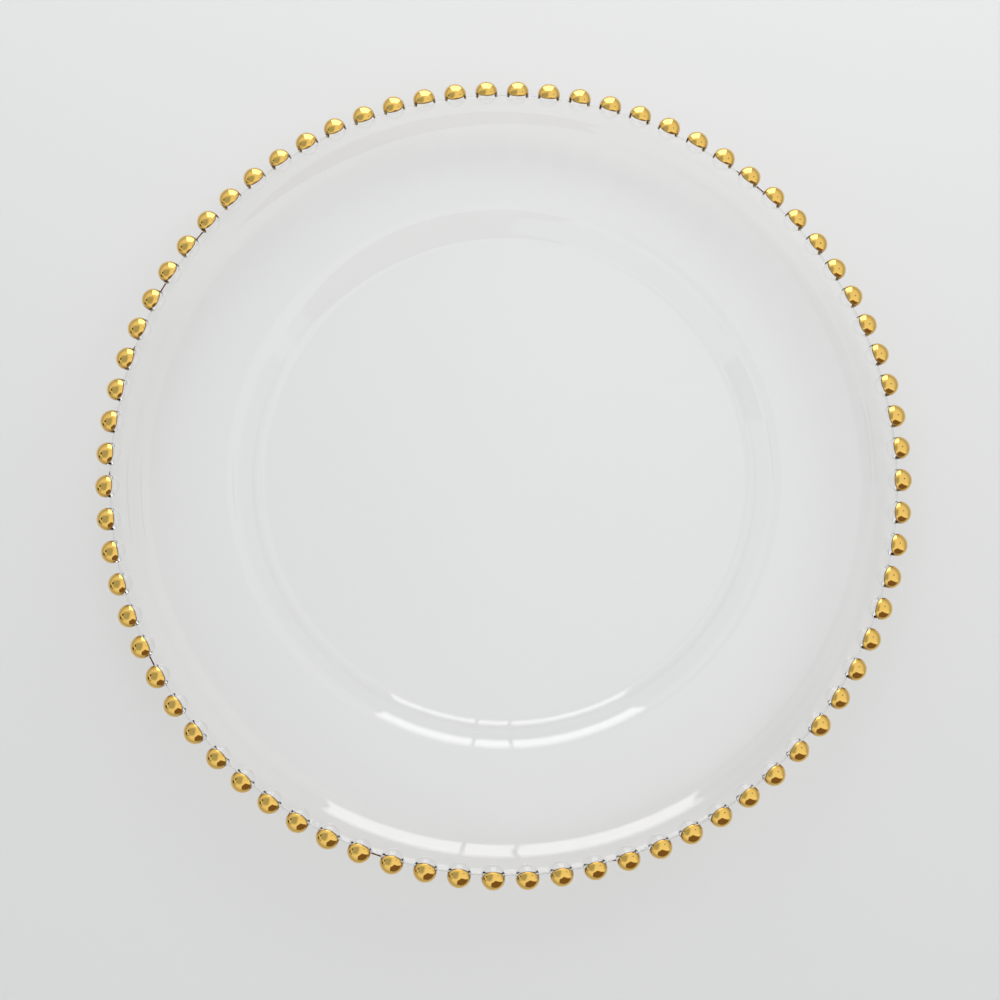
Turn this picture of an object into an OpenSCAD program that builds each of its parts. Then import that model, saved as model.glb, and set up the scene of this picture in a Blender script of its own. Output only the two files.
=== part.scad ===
// Charger plate of clear pressed glass with a row of gilded beads round its rim.
// Millimetres. The origin is the middle of the face that the plate stands on, +Z up.

/* [Glass plate] */
// Thickness of the glass, the same in the floor, the wall and the rim
glass_t = 4.2; // [3.4:0.1:5.4]
// Width of the flat floor, which is also the width of the face that the plate stands on
well_d = 201.2; // [180:0.2:216]
// Radius of the hollow curve between floor and wall, on the upper face
floor_fillet = 4.4; // [2:0.1:8]
// Slope of the wall from the horizontal, in degrees
wall_angle = 47; // [30:1:60]
// Straight stretch of the wall between its two curves
wall_straight = 7.6; // [3:0.1:10]
// Radius of the shoulder where the wall turns out into the rim, on the upper face
shoulder_r = 8.6; // [6.2:0.1:12]
// Slope of the rim from the horizontal, in degrees
rim_angle = 2.2; // [1:0.1:8]

/* [Raised edge] */
// Radius of the hollow curve where the rim turns up, on the upper face
cove_r = 9.5; // [6:0.1:14]
// Steepest slope of the raised edge, in degrees
cove_angle = 42; // [20:1:50]
// Radius of the crown of the raised edge, on the upper face
crown_r = 10; // [6.4:0.1:14]
// Distance in from the bead circle to the top of the crown
crown_inset = 3; // [2:0.1:8]
// Radius that rounds the lower corner of the outer edge
edge_r = 1.4; // [0.4:0.1:2]

/* [Beads] */
// Width of the circle through the bead centres
bead_circle_d = 320.5; // [300:0.5:350]
// Distance from the plate's outer edge out to the bead circle
bead_overhang = 0.3; // [0.1:0.1:1]
// Width of a bead
bead_d = 9.2; // [6:0.1:10]
// Gap left between one bead and the next, along their circle
bead_gap = 4.05; // [2:0.05:6]
// Height of a bead
bead_h = 5.6; // [4:0.1:7]
// Height of the bead centres above the top of the crown
bead_lift = 0.55; // [0:0.05:1]

/* [Gilding] */
// Thickness that stands in for the fired gold film
gold_t = 0.15; // [0.1:0.05:0.3]
// Slope of the gold's edge, which rises over the bead towards the plate's middle, in degrees
gold_angle = 40; // [25:1:60]
// Width of a thread of gold that ran along the outer edge
thread_w = 0.8; // [0.4:0.1:1.2]
// Distance of the threads below the upper corner of the outer edge
thread_drop = 0.6; // [0.6:0.1:1.2]

/* [Hidden] */
$fn = 96;

well_r = well_d/2;
bead_circle_r = bead_circle_d/2;
plate_r = bead_circle_r - bead_overhang;
// As many beads as leave nearly that gap between them
bead_n = round(PI*bead_circle_d/(bead_d + bead_gap));
bead_step = 360/bead_n;
// One straight facet of an outline curve spans at most this angle, in degrees
outline_step = 6;

// The outline's curves, from the middle out. Each centre serves the upper face and the
// underside, so the glass keeps its thickness.
fillet_centre = [well_r, glass_t + floor_fillet];
wall_start = on_arc(fillet_centre, floor_fillet, wall_angle - 90);
wall_end = wall_start + wall_straight*[cos(wall_angle), sin(wall_angle)];
shoulder_centre = wall_end + shoulder_r*[sin(wall_angle), -cos(wall_angle)];
rim_start = on_arc(shoulder_centre, shoulder_r, 90 + rim_angle);
crown_x = bead_circle_r - crown_inset;
rim_end_x = crown_x + cove_r*sin(rim_angle) - (cove_r + crown_r)*sin(cove_angle);
rim_end = [rim_end_x, rim_start[1] + (rim_end_x - rim_start[0])*tan(rim_angle)];
cove_centre = rim_end + cove_r*[-sin(rim_angle), cos(rim_angle)];
cove_end = on_arc(cove_centre, cove_r, cove_angle - 90);
crown_centre = cove_end + crown_r*[sin(cove_angle), -cos(cove_angle)];
crown_z = crown_centre[1] + crown_r;
edge_centre = [plate_r - edge_r, crown_z - glass_t + edge_r];
bead_z = crown_z + bead_lift;
// Flat stretches of a bead's outline from its lowest to its highest point
bead_facets = 12;
// How far a gilded bead reaches to each side, in degrees round the rim
bead_side_angle = asin((bead_d/2 + gold_t)/bead_circle_r);
thread_z = crown_z - thread_drop;

// Where gold ran along the edge between two beads: the gap's number, counted from the bead
// on +X, then the shares of the gap where the thread starts and ends
thread_shares = [
    [10, 0, 1], [30, 0, 1], [32, 0, 1], [44, 0, 1], [53, 0, 1],
    [11, 0, 0.45], [34, 0.6, 1], [38, 0.55, 1], [60, 0.6, 1]
];

function on_arc(centre, r, a) = centre + r*[cos(a), sin(a)];
function arc(centre, r, a0, a1) =
    let(n = max(2, ceil(abs(a1 - a0)/outline_step)))
    [for (i = [0:n]) on_arc(centre, r, a0 + (a1 - a0)*i/n)];

// Upper face from the middle out, the outer edge, then the underside back in
module plate_outline() {
    polygon(concat(
        [[0, glass_t]],
        arc(fillet_centre, floor_fillet, -90, wall_angle - 90),
        arc(shoulder_centre, shoulder_r, 90 + wall_angle, 90 + rim_angle),
        arc(cove_centre, cove_r, rim_angle - 90, cove_angle - 90),
        arc(crown_centre, crown_r, 90 + cove_angle, 90),
        [[plate_r, crown_z]],
        arc(edge_centre, edge_r, 0, -90),
        arc(crown_centre, crown_r - glass_t, 90, 90 + cove_angle),
        arc(cove_centre, cove_r + glass_t, cove_angle - 90, rim_angle - 90),
        arc(shoulder_centre, shoulder_r - glass_t, 90 + rim_angle, 90 + wall_angle),
        arc(fillet_centre, floor_fillet + glass_t, wall_angle - 90, -90),
        [[0, 0]]
    ));
}

// Carries its children to the centre of bead number i, with +X pointing outwards
module at_bead(i) {
    rotate([0, 0, i*bead_step]) translate([bead_circle_r, 0, bead_z]) children();
}

// A flattened ball, grown by a coat on all sides
module flat_ball(coat) {
    rotate_extrude() polygon([
        for (i = [0:bead_facets]) let(a = 180*i/bead_facets - 90)
            [(bead_d/2 + coat)*cos(a), (bead_h/2 + coat)*sin(a)]
    ]);
}

// The room that the plate's outer edge takes up in a bead
module edge_seat() {
    translate([-bead_circle_r, 0, -bead_z]) cylinder(r = plate_r, h = crown_z);
}

// The side of a bead that stays clear, inwards and below the gold's slanting edge
module clear_side() {
    rotate([0, gold_angle, 0])
        translate([-bead_d, -bead_d, -bead_d]) cube([2*bead_d, 2*bead_d, bead_d]);
}

// The pressed dish: floor, wall, rim and raised edge in one piece of clear glass
module glass_plate() {
    color("lightcyan", 0.4) rotate_extrude() plate_outline();
}

// The ring of clear beads, each rooted on the plate's outer edge
module glass_beads() {
    color("azure", 0.6) for (i = [0:bead_n - 1]) at_bead(i) difference() {
        flat_ball(0);
        edge_seat();
    }
}

// The gold film on the outward and upper side of every bead
module gold_caps() {
    color("goldenrod") for (i = [0:bead_n - 1]) at_bead(i) difference() {
        flat_ball(gold_t);
        flat_ball(0);
        clear_side();
    }
}

// Threads where liquid gold ran along the outer edge from one bead towards the next
module gold_threads() {
    gap_angle = bead_step - 2*bead_side_angle;
    color("darkgoldenrod") for (t = thread_shares)
        rotate([0, 0, t[0]*bead_step + bead_side_angle + t[1]*gap_angle])
            rotate_extrude(angle = (t[2] - t[1])*gap_angle)
                translate([plate_r, thread_z]) intersection() {
                    circle(d = thread_w);
                    translate([0, -thread_w]) square([thread_w, 2*thread_w]);
                }
}

glass_plate();
glass_beads();
gold_caps();
gold_threads();
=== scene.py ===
import math

import bpy
import numpy as np
from mathutils import Matrix, Vector


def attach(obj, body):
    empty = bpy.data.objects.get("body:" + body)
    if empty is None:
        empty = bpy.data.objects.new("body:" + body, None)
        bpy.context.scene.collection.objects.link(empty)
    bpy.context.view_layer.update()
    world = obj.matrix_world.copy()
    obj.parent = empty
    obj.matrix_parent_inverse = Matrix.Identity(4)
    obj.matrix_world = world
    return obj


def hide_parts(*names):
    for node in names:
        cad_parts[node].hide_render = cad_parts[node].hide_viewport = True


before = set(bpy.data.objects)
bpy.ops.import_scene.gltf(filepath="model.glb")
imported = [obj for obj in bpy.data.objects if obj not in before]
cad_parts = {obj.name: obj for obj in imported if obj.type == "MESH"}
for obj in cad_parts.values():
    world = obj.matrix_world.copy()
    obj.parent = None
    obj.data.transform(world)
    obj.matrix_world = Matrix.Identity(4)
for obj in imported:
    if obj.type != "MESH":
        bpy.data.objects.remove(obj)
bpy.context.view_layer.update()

# The camera hangs over the plate at arm's length and leans a little towards the near side,
# so that the near beads look larger than the far ones.
CAMERA_LEAN = math.radians(6.701)
CAMERA_SWING = math.radians(-7.539)
CAMERA_TURN = math.radians(1.8)
CAMERA_AIM = Vector((-0.00247, -0.01346, 0.0206))
CAMERA_REACH = 0.3983
SENSOR_MM = 36
LENS_MM = 35.586

towards_camera = Vector((
    math.sin(CAMERA_SWING)*math.sin(CAMERA_LEAN),
    -math.cos(CAMERA_SWING)*math.sin(CAMERA_LEAN),
    math.cos(CAMERA_LEAN),
))
camera_right = Vector((0, 1, 0)).cross(towards_camera).normalized()
camera_up = towards_camera.cross(camera_right)
camera_axes = Matrix((camera_right, camera_up, towards_camera)).transposed().to_4x4()
camera = bpy.data.objects.new("camera", bpy.data.cameras.new("camera"))
camera.data.lens = LENS_MM
camera.data.sensor_width = SENSOR_MM
camera.matrix_world = (
    Matrix.Rotation(CAMERA_TURN, 4, "Z")
    @ Matrix.Translation(CAMERA_AIM + CAMERA_REACH*towards_camera)
    @ camera_axes
)
bpy.context.collection.objects.link(camera)
bpy.context.scene.camera = camera
bpy.context.scene.view_settings.view_transform = "Standard"

# A pale matt table, an even grey room and one tall softbox on the far side, split into
# panes by its bars. The softbox draws the white arcs on the glass and the gold.
FLOOR_COLOUR = "#E4E5E5"
ROOM_COLOUR = "#BCBEBF"
CEILING_COLOUR = "#FAFAFA"
DIM_COLOUR = "#B4BAC0"
STRIP_COLOUR = "#FFFFFF"
FLAG_COLOUR = "#7E6650"
FITTING_COLOUR = "#1E1610"
FLOOR_HALF = 1.6
FLOOR_DROP = 0.0002

SOFTBOX_Y = 1.0
SOFTBOX_LOW = 0.14
SOFTBOX_HIGH = 1.19
SOFTBOX_LEFT = -0.455
SOFTBOX_RIGHT = 0.40
SOFTBOX_BARS = (-0.021, 0.088)
BAR_WIDTH = 0.012
SOFTBOX_WATTS_PER_M2 = 7.5
FILL_PLACE = (1.0, 0.8, 0.8)
FILL_WIDTH = 0.6
FILL_WATTS = 3.2


def linear(colour):
    """An sRGB hex colour as linear red, green, blue and alpha."""
    parts = [int(colour[i:i + 2], 16)/255 for i in (1, 3, 5)]
    return [c/12.92 if c <= 0.04045 else ((c + 0.055)/1.055)**2.4 for c in parts] + [1]


def add_node(tree, kind, settings=None, values=None, links=None):
    """Adds a shader node with its settings, socket values and incoming links."""
    node = tree.nodes.new(kind)
    for key, value in (settings or {}).items():
        setattr(node, key, value)
    for key, value in (values or {}).items():
        node.inputs[key].default_value = value
    for key, socket in (links or {}).items():
        tree.links.new(socket, node.inputs[key])
    return node


def new_material(name):
    """A material with an empty tree and its output node."""
    material = bpy.data.materials.new(name)
    material.use_nodes = True
    material.node_tree.nodes.clear()
    output = material.node_tree.nodes.new("ShaderNodeOutputMaterial")
    return material, material.node_tree, output


def add_object(name, vertices, faces, material, smooth=True):
    """A mesh object in the scene, at the origin."""
    mesh = bpy.data.meshes.new(name)
    mesh.from_pydata(vertices, [], faces)
    mesh.validate()
    mesh.polygons.foreach_set("use_smooth", [smooth]*len(mesh.polygons))
    mesh.materials.append(material)
    piece = bpy.data.objects.new(name, mesh)
    bpy.context.collection.objects.link(piece)
    return piece


matt_table, tree, output = new_material("matt_table")
table_shader = add_node(tree, "ShaderNodeBsdfPrincipled", values={
    "Base Color": linear(FLOOR_COLOUR), "Roughness": 0.9, "Specular IOR Level": 0.1,
})
tree.links.new(table_shader.outputs["BSDF"], output.inputs["Surface"])
corners = [(-1, -1), (1, -1), (1, 1), (-1, 1)]
floor = add_object(
    "floor", [(x*FLOOR_HALF, y*FLOOR_HALF, -FLOOR_DROP) for x, y in corners],
    [(0, 1, 2, 3)], matt_table,
)

# The gold mirrors the room: a pale ceiling over grey walls, a brown flag with straight edges
# at the near side, a white strip above it, a dim stretch at the left and small dark fittings.
FLAG_CORNERS = (
    (-0.17, -0.89, 0.40), (-0.16, -0.58, 0.80), (0.24, -0.32, 0.91),
    (0.86, -0.46, 0.20), (0.62, -0.76, 0.12), (0.30, -0.93, 0.20),
)
STRIP_CORNERS = (
    (0.02, -0.26, 0.97), (0.02, -0.06, 1.0), (0.61, -0.05, 0.78),
    (0.93, -0.30, 0.20), (0.86, -0.46, 0.20), (0.24, -0.32, 0.91),
)
DIM_CORNERS = (
    (-0.75, 0.30, 0.58), (-0.70, -0.35, 0.62), (-0.22, -0.42, 0.88),
    (-0.04, -0.08, 1.0), (-0.05, 0.40, 0.91),
)
# Direction of each fitting and the radius it seems to have, in degrees
FITTINGS = (
    ((-0.78, 0.05, 0.63), 6), ((-0.77, -0.40, 0.50), 4), ((-0.92, -0.22, 0.32), 8),
    ((0.53, 0.20, 0.83), 3.5),
)
FITTING_EDGE = 1
# How steeply up the walls start to turn into the ceiling, and where they have
CEILING_FADE = (0.1, 0.8)
SHARP = 0.02
SOFT = 0.15
ROOM_STRENGTH = 1.05
PLAIN_ROOM_COLOUR = "#E4E6E6"

world = bpy.data.worlds.new("studio_room")
bpy.context.scene.world = world
world.use_nodes = True
tree = world.node_tree
tree.nodes.clear()
output = tree.nodes.new("ShaderNodeOutputWorld")
direction = add_node(tree, "ShaderNodeTexCoord")


def room_share(towards, start, end):
    """How much of a fade is reached, by how closely a direction points towards another."""
    closeness = add_node(tree, "ShaderNodeVectorMath", {"operation": "DOT_PRODUCT"}, {
        1: Vector(towards).normalized()}, {0: direction.outputs["Generated"]})
    share = add_node(tree, "ShaderNodeMapRange", {"interpolation_type": "SMOOTHSTEP"}, {
        "From Min": start, "From Max": end}, {"Value": closeness.outputs["Value"]})
    return share.outputs["Result"]


def straight_edged(corners, softness):
    """The share of a stretch of the room between straight edges."""
    middle = sum((Vector(corner) for corner in corners), Vector())
    inside = None
    for a, b in zip(corners, corners[1:] + corners[:1]):
        side = Vector(a).cross(Vector(b))
        if side.dot(middle) < 0:
            side.negate()
        share = room_share(side, -softness, softness)
        if inside:
            share = add_node(tree, "ShaderNodeMath", {"operation": "MULTIPLY"}, None, {
                0: inside, 1: share}).outputs["Value"]
        inside = share
    return inside


def painted_over(under, colour, share):
    """A colour laid over what is there, as far as its share goes."""
    mix = add_node(tree, "ShaderNodeMix", {"data_type": "RGBA"}, {7: linear(colour)}, {
        0: share, 6: under})
    return mix.outputs[2]


wall_paint = add_node(tree, "ShaderNodeRGB")
wall_paint.outputs["Color"].default_value = linear(ROOM_COLOUR)
room = painted_over(
    wall_paint.outputs["Color"], CEILING_COLOUR, room_share((0, 0, 1), *CEILING_FADE))
room = painted_over(room, DIM_COLOUR, straight_edged(DIM_CORNERS, SOFT))
room = painted_over(room, STRIP_COLOUR, straight_edged(STRIP_CORNERS, SHARP))
room = painted_over(room, FLAG_COLOUR, straight_edged(FLAG_CORNERS, SHARP))
for towards, radius in FITTINGS:
    room = painted_over(room, FITTING_COLOUR, room_share(
        towards, math.cos(math.radians(radius + FITTING_EDGE)),
        math.cos(math.radians(radius - FITTING_EDGE))))
# Seen straight on or through glass, the room is plain and pale
ray = add_node(tree, "ShaderNodeLightPath")
seen = add_node(tree, "ShaderNodeMath", {"operation": "MAXIMUM"}, None, {
    0: ray.outputs["Is Camera Ray"], 1: ray.outputs["Is Transmission Ray"]})
room = painted_over(room, PLAIN_ROOM_COLOUR, seen.outputs["Value"])
background = add_node(tree, "ShaderNodeBackground", None, {
    "Strength": ROOM_STRENGTH}, {"Color": room})
tree.links.new(background.outputs["Background"], output.inputs["Surface"])

pane_edges = [SOFTBOX_LEFT, *SOFTBOX_BARS, SOFTBOX_RIGHT]
for number, (left, right) in enumerate(zip(pane_edges, pane_edges[1:])):
    x0 = left + (BAR_WIDTH/2 if number else 0)
    x1 = right - (BAR_WIDTH/2 if number < len(pane_edges) - 2 else 0)
    pane = bpy.data.lights.new(f"softbox_pane_{number}", "AREA")
    pane.shape = "RECTANGLE"
    pane.size = x1 - x0
    pane.size_y = SOFTBOX_HIGH - SOFTBOX_LOW
    pane.energy = SOFTBOX_WATTS_PER_M2*pane.size*pane.size_y
    lamp = bpy.data.objects.new(pane.name, pane)
    lamp.location = ((x0 + x1)/2, SOFTBOX_Y, (SOFTBOX_LOW + SOFTBOX_HIGH)/2)
    lamp.rotation_euler = (math.radians(-90), 0, 0)
    bpy.context.collection.objects.link(lamp)

# A weaker fill at the far right makes the table lighter there and is not mirrored anywhere.
fill = bpy.data.lights.new("fill", "AREA")
fill.size = FILL_WIDTH
fill.energy = FILL_WATTS
lamp = bpy.data.objects.new("fill", fill)
lamp.location = FILL_PLACE
lamp.rotation_euler = Vector(FILL_PLACE).to_track_quat("Z", "Y").to_euler()
lamp.visible_glossy = False
lamp.visible_transmission = False
bpy.context.collection.objects.link(lamp)

# The plate and its beads are one pressing of clear soda-lime glass, fire-polished after the
# mould. The beads grow out of the round outer edge with a small fillet.
MM = 0.001
GLASS_T = 4.2
WELL_R = 100.6
FLOOR_FILLET = 4.4
WALL_ANGLE = math.radians(47)
WALL_STRAIGHT = 7.6
SHOULDER_R = 8.6
RIM_ANGLE = math.radians(2.2)
COVE_R = 9.5
COVE_ANGLE = math.radians(42)
CROWN_R = 10
CROWN_INSET = 3
BEAD_CIRCLE_R = 160.25
BEAD_OVERHANG = 0.3
BEAD_LIFT = 0.55
BEAD_COUNT = 76
BEAD_HALF_W = 4.6
BEAD_HALF_H = 2.8
BEAD_FILLET = 0.5
UNDER_SHOULDER_R = 8
TAPER_ANGLE = math.radians(20.5)
TAPER_STEPS = 8
EDGE_TOP_R = 1.4
EDGE_LOW_R = 1.4
SECTION_STEP = math.radians(3)
FINE_PER_BEAD = 40
FINE_PER_COARSE = 4
FINE_ZONE_R = 154.3
EDGE_FROM_R = 150
FURTHEST_STRETCH = 6
STRETCH_STEP = 0.02
NEARLY_OUT = 0.002
HALVINGS = 24
# The point inside a bead that the glass is pushed out from, inwards of and below its centre
HEART_INWARDS = 2.05
HEART_BELOW = 2.15
# How much of the spacing round the rim is even, and not drawn together over the bead
EVEN_SHARE = 0.45

GLASS_IOR = 1.52
GLASS_COLOUR = "#FFFFFF"


def on_arc(centre, radius, angle):
    return (centre[0] + radius*math.cos(angle), centre[1] + radius*math.sin(angle))


def arc_points(centre, radius, start, end):
    """Points of a section along an arc, both ends included."""
    count = max(2, math.ceil(abs(end - start)/SECTION_STEP))
    return [on_arc(centre, radius, start + (end - start)*i/count) for i in range(count + 1)]


# Each curve of the section has one centre for the upper face and the underside.
right_angle = math.pi/2
fillet_c = (WELL_R, GLASS_T + FLOOR_FILLET)
wall_foot = on_arc(fillet_c, FLOOR_FILLET, WALL_ANGLE - right_angle)
wall_head = on_arc(wall_foot, WALL_STRAIGHT, WALL_ANGLE)
shoulder_c = on_arc(wall_head, SHOULDER_R, WALL_ANGLE - right_angle)
rim_start = on_arc(shoulder_c, SHOULDER_R, right_angle + RIM_ANGLE)
crown_x = BEAD_CIRCLE_R - CROWN_INSET
rim_end_x = (
    crown_x + COVE_R*math.sin(RIM_ANGLE) - (COVE_R + CROWN_R)*math.sin(COVE_ANGLE)
)
rim_end = (rim_end_x, rim_start[1] + (rim_end_x - rim_start[0])*math.tan(RIM_ANGLE))
cove_c = on_arc(rim_end, COVE_R, right_angle + RIM_ANGLE)
cove_end = on_arc(cove_c, COVE_R, COVE_ANGLE - right_angle)
crown_c = on_arc(cove_end, CROWN_R, COVE_ANGLE - right_angle)
crown_z = crown_c[1] + CROWN_R
bead_z = crown_z + BEAD_LIFT
plate_r = BEAD_CIRCLE_R - BEAD_OVERHANG

# On the underside the shoulder is rounder, and the outer edge tapers and ends in a round nose.
under_shoulder_c = on_arc(
    shoulder_c,
    (UNDER_SHOULDER_R - SHOULDER_R + GLASS_T)/math.cos((WALL_ANGLE - RIM_ANGLE)/2),
    (WALL_ANGLE + RIM_ANGLE)/2 - right_angle,
)
edge_top_c = (plate_r - EDGE_TOP_R, crown_z - EDGE_TOP_R)
taper_end = on_arc(crown_c, CROWN_R - GLASS_T, right_angle + TAPER_ANGLE)
edge_low_c = (plate_r - EDGE_LOW_R, (
    taper_end[1] + (plate_r - EDGE_LOW_R - taper_end[0])*math.tan(TAPER_ANGLE)
    + EDGE_LOW_R/math.cos(TAPER_ANGLE)
))
taper_start = on_arc(edge_low_c, EDGE_LOW_R, TAPER_ANGLE - right_angle)
taper = [
    tuple(a + (b - a)*i/TAPER_STEPS for a, b in zip(taper_start, taper_end))
    for i in range(1, TAPER_STEPS)
]

glass_section = (
    [(0, GLASS_T)]
    + arc_points(fillet_c, FLOOR_FILLET, -right_angle, WALL_ANGLE - right_angle)
    + arc_points(shoulder_c, SHOULDER_R, right_angle + WALL_ANGLE, right_angle + RIM_ANGLE)
    + arc_points(cove_c, COVE_R, RIM_ANGLE - right_angle, COVE_ANGLE - right_angle)
    + arc_points(crown_c, CROWN_R, right_angle + COVE_ANGLE, right_angle)[1:]
    + arc_points(edge_top_c, EDGE_TOP_R, right_angle, 0)
    + arc_points(edge_low_c, EDGE_LOW_R, 0, TAPER_ANGLE - right_angle)
    + taper
    + arc_points(crown_c, CROWN_R - GLASS_T,
                 right_angle + TAPER_ANGLE, right_angle + COVE_ANGLE)[:-1]
    + arc_points(cove_c, COVE_R + GLASS_T, COVE_ANGLE - right_angle, RIM_ANGLE - right_angle)
    + arc_points(under_shoulder_c, UNDER_SHOULDER_R,
                 right_angle + RIM_ANGLE, right_angle + WALL_ANGLE)
    + arc_points(fillet_c, FLOOR_FILLET + GLASS_T, WALL_ANGLE - right_angle, -right_angle)
    + [(0, 0)]
)
section_starts = np.array([p for p in glass_section if p[0] > EDGE_FROM_R])
section_steps = np.roll(section_starts, -1, 0) - section_starts


def plate_distance(r, z):
    """Distance to the section of the plate's edge, negative in the glass."""
    from_start = np.stack([r, z], -1)[..., None, :] - section_starts
    along = (from_start*section_steps).sum(-1)/(section_steps**2).sum(-1)
    nearest = from_start - np.clip(along, 0, 1)[..., None]*section_steps
    above = section_starts[:, 1] > z[..., None]
    passed = above != np.roll(above, -1, -1)
    rise = np.where(section_steps[:, 1] == 0, 1, section_steps[:, 1])
    at_right = from_start[..., 0] < from_start[..., 1]*section_steps[:, 0]/rise
    inside = (passed & at_right).sum(-1) % 2 == 1
    gap = np.linalg.norm(nearest, axis=-1).min(-1)
    return np.where(inside, -gap, gap)


def bead_distance(x, y, z):
    """Distance to a flattened ball at the bead's centre, near enough for a fillet."""
    k0 = np.sqrt((x/BEAD_HALF_W)**2 + (y/BEAD_HALF_W)**2 + (z/BEAD_HALF_H)**2)
    k1 = np.sqrt((x/BEAD_HALF_W**2)**2 + (y/BEAD_HALF_W**2)**2 + (z/BEAD_HALF_H**2)**2)
    return k0*(k0 - 1)/np.maximum(k1, 1e-9)


def blended_distance(p):
    """Distance to plate and bead together, with the crease between them filled."""
    plate = plate_distance(np.hypot(p[..., 0], p[..., 1]), p[..., 2])
    bead = bead_distance(p[..., 0] - BEAD_CIRCLE_R, p[..., 1], p[..., 2] - bead_z)
    overlap = np.maximum(BEAD_FILLET - np.abs(plate - bead), 0)
    return np.minimum(plate, bead) - overlap**2/(4*BEAD_FILLET)


def swell_over_bead(section, angles):
    """Pushes the plain edge outwards along rays from inside the bead to the blended glass."""
    heart = np.array([BEAD_CIRCLE_R - HEART_INWARDS, 0, bead_z - HEART_BELOW])
    r = np.array([p[0] for p in section])
    z = np.array([p[1] for p in section])
    plain = np.stack([
        np.outer(r, np.cos(angles)), np.outer(r, np.sin(angles)),
        np.repeat(z[:, None], len(angles), 1),
    ], -1)
    low = np.ones(plain.shape[:2])
    covered = np.ones(plain.shape[:2], bool)
    for stretch in np.arange(1, FURTHEST_STRETCH, STRETCH_STEP):
        covered &= blended_distance(heart + (plain - heart)*stretch) < -NEARLY_OUT
        low = np.where(covered, stretch, low)
    high = np.where(low > 1, low + STRETCH_STEP, 1)
    for _ in range(HALVINGS):
        middle = (low + high)/2
        inside = blended_distance(heart + (plain - heart)*middle[..., None]) < 0
        low = np.where(inside, middle, low)
        high = np.where(inside, high, middle)
    return heart + (plain - heart)*high[..., None]


bead_step = 2*math.pi/BEAD_COUNT
# Closer together over the bead, where the surface is pushed out furthest
shares = np.arange(FINE_PER_BEAD)/FINE_PER_BEAD*2 - 1
fine_angles = bead_step/2*(EVEN_SHARE*shares + (1 - EVEN_SHARE)*shares**3)
coarse_angles = fine_angles[::FINE_PER_COARSE]
in_zone = [r > FINE_ZONE_R for r, z in glass_section]
zone_section = [p for p, fine in zip(glass_section, in_zone) if fine]
zone_points = swell_over_bead(zone_section, fine_angles)

vertices = []
rings = []
zone_row = 0
for (r, z), fine in zip(glass_section, in_zone):
    first = len(vertices)
    if r == 0:
        vertices.append((0, 0, z*MM))
    elif fine:
        row = zone_points[zone_row]
        zone_row += 1
        for bead in range(BEAD_COUNT):
            c, s = math.cos(bead*bead_step), math.sin(bead*bead_step)
            vertices += [((x*c - y*s)*MM, (x*s + y*c)*MM, h*MM) for x, y, h in row]
    else:
        for bead in range(BEAD_COUNT):
            vertices += [
                (r*math.cos(bead*bead_step + a)*MM, r*math.sin(bead*bead_step + a)*MM, z*MM)
                for a in coarse_angles
            ]
    rings.append((first, len(vertices) - first))

faces = []
for (a, count_a), (b, count_b) in zip(rings, rings[1:]):
    if count_a == 1:
        faces += [(a, b + k, b + (k + 1) % count_b) for k in range(count_b)]
    elif count_b == 1:
        faces += [(a + (k + 1) % count_a, a + k, b) for k in range(count_a)]
    elif count_a == count_b:
        faces += [
            (a + k, b + k, b + (k + 1) % count_b, a + (k + 1) % count_a)
            for k in range(count_a)
        ]
    elif count_a < count_b:
        for k in range(count_a):
            fan = [b + (k*FINE_PER_COARSE + i) % count_b for i in range(FINE_PER_COARSE + 1)]
            faces.append((a + k, *fan, a + (k + 1) % count_a))
    else:
        for k in range(count_b):
            fan = [a + (k*FINE_PER_COARSE + i) % count_a for i in range(FINE_PER_COARSE + 1)]
            faces.append((b + (k + 1) % count_b, *reversed(fan), b + k))

# Clear glass shows itself by its mirror images and by how it bends what lies behind. A faint
# wave left by the mould makes the arcs of light run a little unevenly. Light for the table
# passes straight through, a little more than in life, since real glass also throws some of
# the table's own light back down.
soda_lime_glass, tree, output = new_material("fire_polished_soda_lime_glass")
place = add_node(tree, "ShaderNodeTexCoord")
mould_waves = add_node(tree, "ShaderNodeTexNoise", None, {
    "Scale": 60.0, "Detail": 1.0, "Roughness": 0.4}, {"Vector": place.outputs["Object"]})
glass_bump = add_node(tree, "ShaderNodeBump", None, {
    "Strength": 0.3, "Distance": 0.0002}, {"Height": mould_waves.outputs["Fac"]})
glass_shader = add_node(tree, "ShaderNodeBsdfPrincipled", values={
    "Base Color": linear(GLASS_COLOUR), "Roughness": 0.0, "IOR": GLASS_IOR,
    "Transmission Weight": 1.0,
}, links={"Normal": glass_bump.outputs["Normal"]})
slant = add_node(tree, "ShaderNodeFresnel", values={"IOR": GLASS_IOR})
passed_share = add_node(tree, "ShaderNodeMapRange", None, {
    "From Min": 0.043, "From Max": 0.6, "To Min": 1.02, "To Max": 0.9},
    {"Value": slant.outputs["Fac"]})
face = add_node(tree, "ShaderNodeNewGeometry")
passed_once = add_node(tree, "ShaderNodeMath", {"operation": "MAXIMUM"}, None, {
    0: passed_share.outputs["Result"], 1: face.outputs["Backfacing"]})
clear_shadow = add_node(tree, "ShaderNodeBsdfTransparent", links={
    "Color": passed_once.outputs["Value"]})
light_path = add_node(tree, "ShaderNodeLightPath")
to_lamp_or_room = add_node(tree, "ShaderNodeMath", {"operation": "MAXIMUM"}, None, {
    0: light_path.outputs["Is Shadow Ray"], 1: light_path.outputs["Is Diffuse Ray"]})
glass_mix = add_node(tree, "ShaderNodeMixShader", None, None, {
    0: to_lamp_or_room.outputs["Value"],
    1: glass_shader.outputs["BSDF"],
    2: clear_shadow.outputs["BSDF"],
})
tree.links.new(glass_mix.outputs["Shader"], output.inputs["Surface"])

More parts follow.
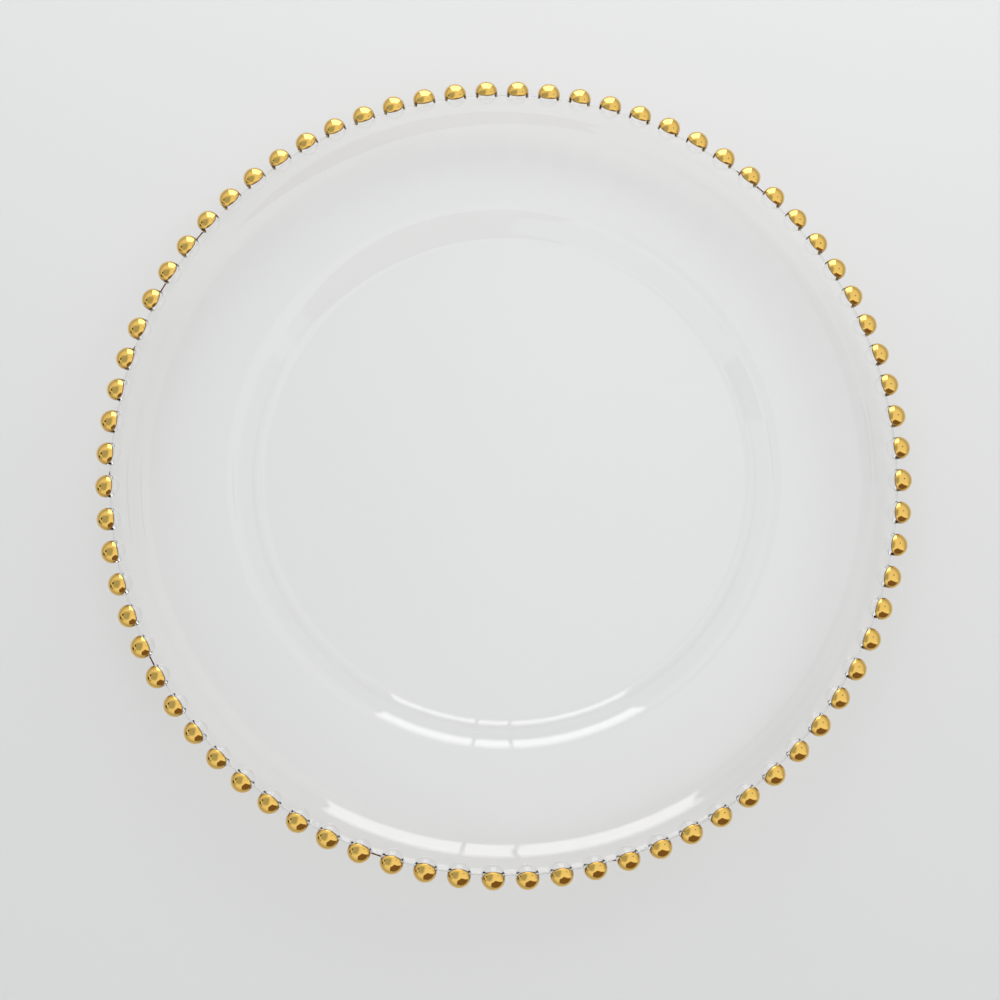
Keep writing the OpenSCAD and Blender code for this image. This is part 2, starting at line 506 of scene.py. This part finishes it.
pressed_glass = add_object("pressed_glass", vertices, faces, soda_lime_glass)
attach(pressed_glass, "root")
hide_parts("glass_plate", "glass_beads")

# Liquid bright gold is brushed on the outer and upper half of each bead and fired. It
# shrinks to a mirror film with a slightly uneven edge, wider in the middle of the inner side
# and drawn in at both ends.
# The film is a hair thinner than the solid's, so that this rounder one stays in its box
GOLD_T = 0.135
GOLD_ANGLE = math.radians(40)
GOLD_GAP = 0.01
CAP_SPOKES = 40
CAP_RINGS = 14
CAP_INNER_RINGS = 5
# How far the gold reaches from the middle of its face, in degrees, and how that varies
REACH = (86, 92)
INNER_BULGE = 4
DRAWN_IN = 5
EDGE_WAVES = (2, 1, 1, 0.7)
BRUSH_SEED = 76
GOLD_COLOUR = "#ECC05A"
THIN_EDGE_AND_DARK_END_COLOUR = "#5E2A24"

brush = np.random.default_rng(BRUSH_SEED)
across_gold = Vector((
    math.sin(GOLD_ANGLE)/BEAD_HALF_H, 0, math.cos(GOLD_ANGLE)/BEAD_HALF_W)).normalized()
along_gold = Vector((0, 1, 0))
down_gold = along_gold.cross(across_gold)


def bead_place(bead, direction, coat):
    """A point on a bead, grown by a coat, in the direction of its round form."""
    x = BEAD_CIRCLE_R + (BEAD_HALF_W + coat)*direction.x
    y = (BEAD_HALF_W + coat)*direction.y
    z = bead_z + (BEAD_HALF_H + coat)*direction.z
    c, s = math.cos(bead*bead_step), math.sin(bead*bead_step)
    return ((x*c - y*s)*MM, (x*s + y*c)*MM, z*MM)


def cap_direction(spoke_angle, opening):
    return (
        across_gold*math.cos(opening)
        + (along_gold*math.cos(spoke_angle) + down_gold*math.sin(spoke_angle))
        * math.sin(opening)
    )


vertices = []
edge_and_end_darkening = []
faces = []
for bead in range(BEAD_COUNT):
    first = len(vertices)
    spokes = [2*math.pi*k/CAP_SPOKES for k in range(CAP_SPOKES)]
    reach = brush.uniform(*REACH)
    waves = brush.uniform(-1, 1, len(EDGE_WAVES))*EDGE_WAVES
    turns = brush.uniform(0, 2*math.pi, len(EDGE_WAVES))
    rim_openings = [
        math.radians(
            reach + INNER_BULGE*max(-math.sin(a), 0) - DRAWN_IN*abs(math.cos(a))**4
            + sum(w*math.cos((n + 1)*a + t) for n, (w, t) in enumerate(zip(waves, turns)))
        )
        for a in spokes
    ]
    vertices.append(bead_place(bead, across_gold, GOLD_T))
    edge_and_end_darkening.append(0.0)
    for ring in range(1, CAP_RINGS + 1):
        share = ring/CAP_RINGS
        coat = GOLD_T*(1 - share**8) + GOLD_GAP*share**8
        vertices += [
            bead_place(bead, cap_direction(a, o*share), coat)
            for a, o in zip(spokes, rim_openings)
        ]
        # The film is thin along its edge, and darker towards both ends of the cap
        edge_and_end_darkening += [
            max(float(ring == CAP_RINGS), abs(math.cos(a))**8*share**5) for a in spokes
        ]
    for ring in range(CAP_INNER_RINGS - 1, 0, -1):
        vertices += [
            bead_place(bead, cap_direction(a, o*ring/CAP_INNER_RINGS), GOLD_GAP/2)
            for a, o in zip(spokes, rim_openings)
        ]
    vertices.append(bead_place(bead, across_gold, GOLD_GAP/2))
    edge_and_end_darkening += [0.0]*(len(vertices) - len(edge_and_end_darkening))
    ring_starts = [first + 1 + k*CAP_SPOKES for k in range(CAP_RINGS + CAP_INNER_RINGS - 1)]
    last = len(vertices) - 1
    for k in range(CAP_SPOKES):
        k2 = (k + 1) % CAP_SPOKES
        faces.append((first, ring_starts[0] + k, ring_starts[0] + k2))
        for a, b in zip(ring_starts, ring_starts[1:]):
            faces.append((a + k, b + k, b + k2, a + k2))
        faces.append((ring_starts[-1] + k, last, ring_starts[-1] + k2))

# Fired gold mirrors the room in deep yellow under a glassy skin, with the faint unevenness of
# a brushed coat. Where the film is thin along its edge it fires to a purple brown, and towards
# both ends of each cap the gold is darkened to the same colour.
fired_bright_gold, tree, output = new_material("fired_bright_gold")
place = add_node(tree, "ShaderNodeTexCoord")
brush_marks = add_node(tree, "ShaderNodeTexNoise", None, {
    "Scale": 700.0, "Detail": 2.0, "Roughness": 0.5}, {"Vector": place.outputs["Object"]})
gold_bump = add_node(tree, "ShaderNodeBump", None, {
    "Strength": 0.2, "Distance": 0.00005}, {"Height": brush_marks.outputs["Fac"]})
gold_gloss = add_node(tree, "ShaderNodeMapRange", None, {
    "From Min": 0.3, "From Max": 0.7, "To Min": 0.02, "To Max": 0.06},
    {"Value": brush_marks.outputs["Fac"]})
film = add_node(tree, "ShaderNodeAttribute", {"attribute_name": "thin_edge_and_dark_ends"})
gold_colour = add_node(tree, "ShaderNodeMix", {"data_type": "RGBA"}, {
    6: linear(GOLD_COLOUR), 7: linear(THIN_EDGE_AND_DARK_END_COLOUR)}, {0: film.outputs["Fac"]})
gold_shader = add_node(tree, "ShaderNodeBsdfPrincipled", None, {
    "Metallic": 1.0, "Coat Weight": 1.0, "Coat Roughness": 0.03},
    {"Base Color": gold_colour.outputs[2], "Roughness": gold_gloss.outputs["Result"],
     "Normal": gold_bump.outputs["Normal"]})
tree.links.new(gold_shader.outputs["BSDF"], output.inputs["Surface"])

gold_films = add_object("gold_films", vertices, faces, fired_bright_gold)
thin_edge_and_dark_ends = gold_films.data.attributes.new("thin_edge_and_dark_ends", "FLOAT", "POINT")
thin_edge_and_dark_ends.data.foreach_set("value", edge_and_end_darkening)
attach(gold_films, "root")
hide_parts("gold_caps")

# In a few gaps the liquid gold ran along the outer edge from one bead towards the next. It
# was fired with the rest and sticks to the glass as a thin dark thread.
RUN_WIDTH = 0.8
RUN_THINNING = 0.2
RUN_TIP = 0.02
RUN_PLACE = math.radians(30)
RUN_STEPS = 24
RUN_SIDES = 10
# Gap number counted from the bead on +X, then the shares of the gap where the run lies
RUN_SHARES = (
    (10, 0, 1), (30, 0, 1), (32, 0, 1), (44, 0, 1), (53, 0, 1),
    (11, 0, 0.45), (34, 0.6, 1), (38, 0.55, 1), (60, 0.6, 1),
)
RUN_COLOUR = "#5A1E24"
RUN_LIGHT_COLOUR = "#7A4028"

side_angle = math.asin((BEAD_HALF_W + GOLD_T)/BEAD_CIRCLE_R)
gap_angle = bead_step - 2*side_angle
vertices = []
faces = []
for gap, start, end in RUN_SHARES:
    first = len(vertices)
    for step in range(RUN_STEPS + 1):
        share = start + (end - start)*step/RUN_STEPS
        angle = gap*bead_step + side_angle + share*gap_angle
        # A little thinner in the middle of its gap, and pointed where it ends there
        from_bead = min(share, 1 - share)*2
        radius = RUN_WIDTH/2*(1 - RUN_THINNING*from_bead)
        if end - start < 1:
            free = (end - share if start == 0 else share - start)/(end - start)
            radius *= math.sqrt(max(free, RUN_TIP))
        r, z = on_arc(edge_top_c, EDGE_TOP_R, RUN_PLACE)
        for side in range(RUN_SIDES):
            turn = 2*math.pi*side/RUN_SIDES
            ring_r = r + radius*math.cos(turn)
            vertices.append((
                ring_r*math.cos(angle)*MM, ring_r*math.sin(angle)*MM,
                (z + radius*math.sin(turn))*MM,
            ))
    for step in range(RUN_STEPS):
        a = first + step*RUN_SIDES
        b = a + RUN_SIDES
        for side in range(RUN_SIDES):
            side2 = (side + 1) % RUN_SIDES
            faces.append((a + side, a + side2, b + side2, b + side))
    faces.append(tuple(first + side for side in reversed(range(RUN_SIDES))))
    faces.append(tuple(first + RUN_STEPS*RUN_SIDES + side for side in range(RUN_SIDES)))

# A thin run keeps less gold and fires darker and redder than the film on the beads.
fired_thin_gold, tree, output = new_material("fired_thin_gold")
place = add_node(tree, "ShaderNodeTexCoord")
thinning = add_node(tree, "ShaderNodeTexNoise", None, {
    "Scale": 400.0, "Detail": 1.0}, {"Vector": place.outputs["Object"]})
thin_colour = add_node(tree, "ShaderNodeMix", {"data_type": "RGBA"}, {
    6: linear(RUN_COLOUR), 7: linear(RUN_LIGHT_COLOUR)}, {0: thinning.outputs["Fac"]})
thin_shader = add_node(tree, "ShaderNodeBsdfPrincipled", None, {
    "Metallic": 1.0, "Roughness": 0.2}, {"Base Color": thin_colour.outputs[2]})
tree.links.new(thin_shader.outputs["BSDF"], output.inputs["Surface"])

gold_runs = add_object("gold_runs", vertices, faces, fired_thin_gold)
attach(gold_runs, "root")
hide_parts("gold_threads")
